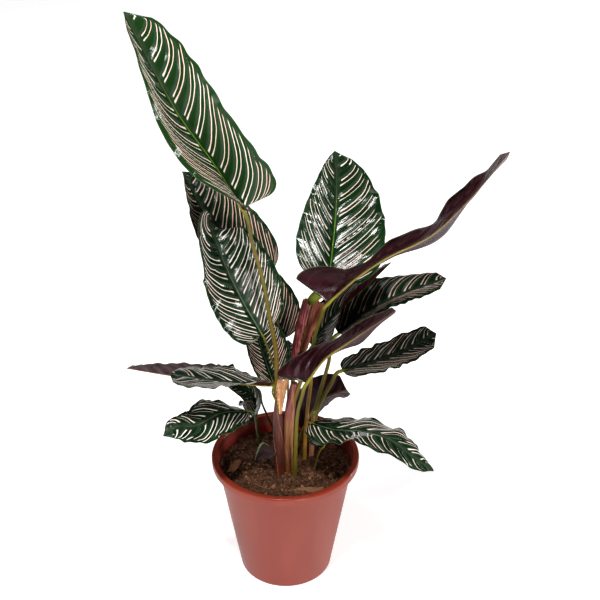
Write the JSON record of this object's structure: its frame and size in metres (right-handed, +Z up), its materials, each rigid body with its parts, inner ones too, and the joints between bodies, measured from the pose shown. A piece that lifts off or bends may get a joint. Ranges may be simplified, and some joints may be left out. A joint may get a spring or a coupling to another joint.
{
  "type": "potted plant",
  "caption": "Pinstripe calathea with long striped leaves on slender stalks, growing in a round tapered nursery pot with a rolled rim.",
  "frame": {"origin": "middle of the pot's flat underside, where it stands", "axes": "+Z up along the pot's axis, -Y towards the viewer of the picture, +X to the viewer's right"},
  "size_m": [0.3937, 0.2453, 0.6814],
  "materials": {
    "pot_plastic": "satin moulded plastic",
    "potting_soil": "crumbly, matt",
    "stem": "smooth, fleshy",
    "stalk": "smooth, fleshy",
    "leaf": "glossy above, purple and satin underneath",
    "sheath_red": "papery, streaked",
    "sheath_tan": "dry, wrinkled",
    "sheath_dark": "withered, matt"
  },
  "bodies": {
    "root": {"pot": "pot_plastic", "soil": "potting_soil", "stem_left": "stem", "stem_middle": "stem", "stem_right": "stem", "stalk_rolled_left": "stalk", "stalk_low_left": "stalk", "stalk_small_left": "stalk", "stalk_dark_right": "stalk", "stalk_cupped_right": "stalk", "stalk_inner_right": "stalk", "stalk_hidden_centre": "stalk", "stalk_tiny_right": "stalk", "blade_tall_left": "leaf", "blade_upper_left": "leaf", "blade_front_left": "leaf", "blade_behind_left": "leaf", "blade_under_left": "leaf", "blade_level_left": "leaf", "blade_rolled_left": "leaf", "blade_low_left": "leaf", "blade_small_left": "leaf", "blade_low_right": "leaf", "blade_dark_right": "leaf", "blade_level_right": "leaf", "blade_cupped_right": "leaf", "blade_long_right": "leaf", "blade_inner_right": "leaf", "blade_tall_right": "leaf", "blade_centre": "leaf", "blade_hidden_centre": "leaf", "blade_tiny_right": "leaf", "sheath_red": "sheath_red", "sheath_tan": "sheath_tan", "sheath_dark": "sheath_dark"}
  },
  "joints": []
}
